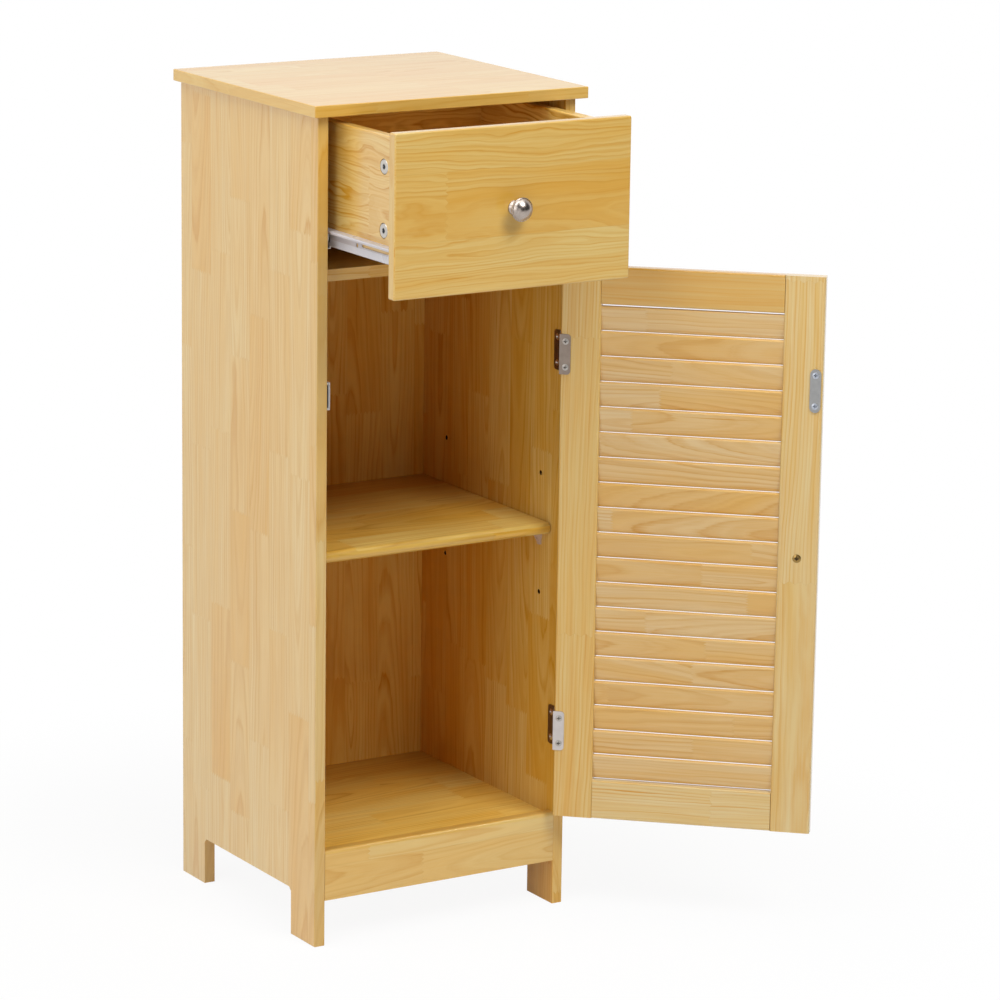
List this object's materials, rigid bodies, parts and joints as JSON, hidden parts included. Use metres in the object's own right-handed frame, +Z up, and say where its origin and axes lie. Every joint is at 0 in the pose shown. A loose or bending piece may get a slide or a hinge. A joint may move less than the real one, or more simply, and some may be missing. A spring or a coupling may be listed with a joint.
{
  "type": "column cabinet",
  "caption": "Narrow floor-standing wooden cabinet with a drawer on roller runners above a cupboard with an adjustable shelf behind a louvred hinged door.",
  "frame": {"origin": "on the floor, under the middle of the top", "axes": "+Z up, +X to the right seen from the front, -Y towards the front"},
  "size_m": [0.4967, 0.4882, 0.87],
  "materials": {
    "pine_board": "satin lacquer",
    "beech_dowel": "raw",
    "zinc": "zinc plated",
    "satin_nickel": "satin",
    "bright_nickel": "polished",
    "yellow_zinc": "passivated",
    "white_enamel": "powder coat",
    "roller_nylon": "moulded",
    "axle_steel": "plain",
    "white_plastic": "moulded",
    "magnet": "raw"
  },
  "bodies": {
    "carcass": {"top_panel": "pine_board", "left_side_panel": "pine_board", "right_side_panel": "pine_board", "bottom_panel": "pine_board", "divider_panel": "pine_board", "plinth_board": "pine_board", "adjustable_shelf": "pine_board", "back_panel": "pine_board", "carcass_dowels": "beech_dowel", "carcass_cam_discs": "zinc", "carcass_cam_bolts": "zinc", "back_panel_nails": "zinc", "slide_rail_screws": "zinc", "catch_screws": "zinc", "upper_hinge_frame_leaf": "satin_nickel", "lower_hinge_frame_leaf": "satin_nickel", "hinge_pins": "satin_nickel", "hinge_frame_screws": "satin_nickel", "left_slide_rail": "white_enamel", "right_slide_rail": "white_enamel", "rail_roller_axles": "axle_steel", "catch_pole_plates": "axle_steel", "catch_housing": "white_plastic", "shelf_pins": "white_plastic", "catch_magnet": "magnet"},
    "drawer": {"drawer_front": "pine_board", "drawer_left_side": "pine_board", "drawer_right_side": "pine_board", "drawer_back": "pine_board", "drawer_bottom": "pine_board", "drawer_cam_discs": "zinc", "drawer_cam_bolts": "zinc", "drawer_runner_screws": "zinc", "drawer_back_screws": "zinc", "drawer_knob": "bright_nickel", "drawer_knob_screw": "yellow_zinc", "left_drawer_runner": "white_enamel", "right_drawer_runner": "white_enamel", "drawer_roller_axles": "axle_steel"},
    "door": {"door_hinge_stile": "pine_board", "door_free_stile": "pine_board", "door_top_rail": "pine_board", "door_bottom_rail": "pine_board", "louvre_slats": "pine_board", "door_dowels": "beech_dowel", "strike_plate": "zinc", "strike_screws": "zinc", "upper_hinge_door_leaf": "satin_nickel", "lower_hinge_door_leaf": "satin_nickel", "hinge_door_screws": "satin_nickel", "door_knob": "bright_nickel", "door_knob_screw": "yellow_zinc"},
    "left_rail_roller": {"left_rail_roller": "roller_nylon"},
    "right_rail_roller": {"right_rail_roller": "roller_nylon"},
    "left_drawer_roller": {"left_drawer_roller": "roller_nylon"},
    "right_drawer_roller": {"right_drawer_roller": "roller_nylon"}
  },
  "joints": [
    {"name": "drawer_slide", "type": "slide", "parent": "carcass", "child": "drawer", "axis": [0, -1, 0], "range_m": [-0.126, 0.064]},
    {"name": "door_hinge", "type": "hinge", "parent": "carcass", "child": "door", "pos_m": [0.1365, -0.1425, 0.3965], "axis": [0, 0, 1], "range_deg": [-137.1, 37.9]},
    {"name": "left_rail_roller_spin", "type": "hinge", "parent": "carcass", "child": "left_rail_roller", "pos_m": [-0.1307, -0.1185, 0.7342], "axis": [1, 0, 0], "range_deg": [-1032, 525]},
    {"name": "left_drawer_roller_spin", "type": "hinge", "parent": "drawer", "child": "left_drawer_roller", "pos_m": [-0.1307, -0.0115, 0.7309], "axis": [1, 0, 0], "range_deg": [-1032, 525]},
    {"name": "right_rail_roller_spin", "type": "hinge", "parent": "carcass", "child": "right_rail_roller", "pos_m": [0.1307, -0.1185, 0.7342], "axis": [1, 0, 0], "range_deg": [-1032, 525]},
    {"name": "right_drawer_roller_spin", "type": "hinge", "parent": "drawer", "child": "right_drawer_roller", "pos_m": [0.1307, -0.0115, 0.7309], "axis": [1, 0, 0], "range_deg": [-1032, 525]}
  ],
  "couplings": [
    {"joint": "left_rail_roller_spin", "follows": "drawer_slide", "rad_per_m": 142.86},
    {"joint": "left_drawer_roller_spin", "follows": "drawer_slide", "rad_per_m": 142.86},
    {"joint": "right_rail_roller_spin", "follows": "drawer_slide", "rad_per_m": 142.86},
    {"joint": "right_drawer_roller_spin", "follows": "drawer_slide", "rad_per_m": 142.86}
  ]
}
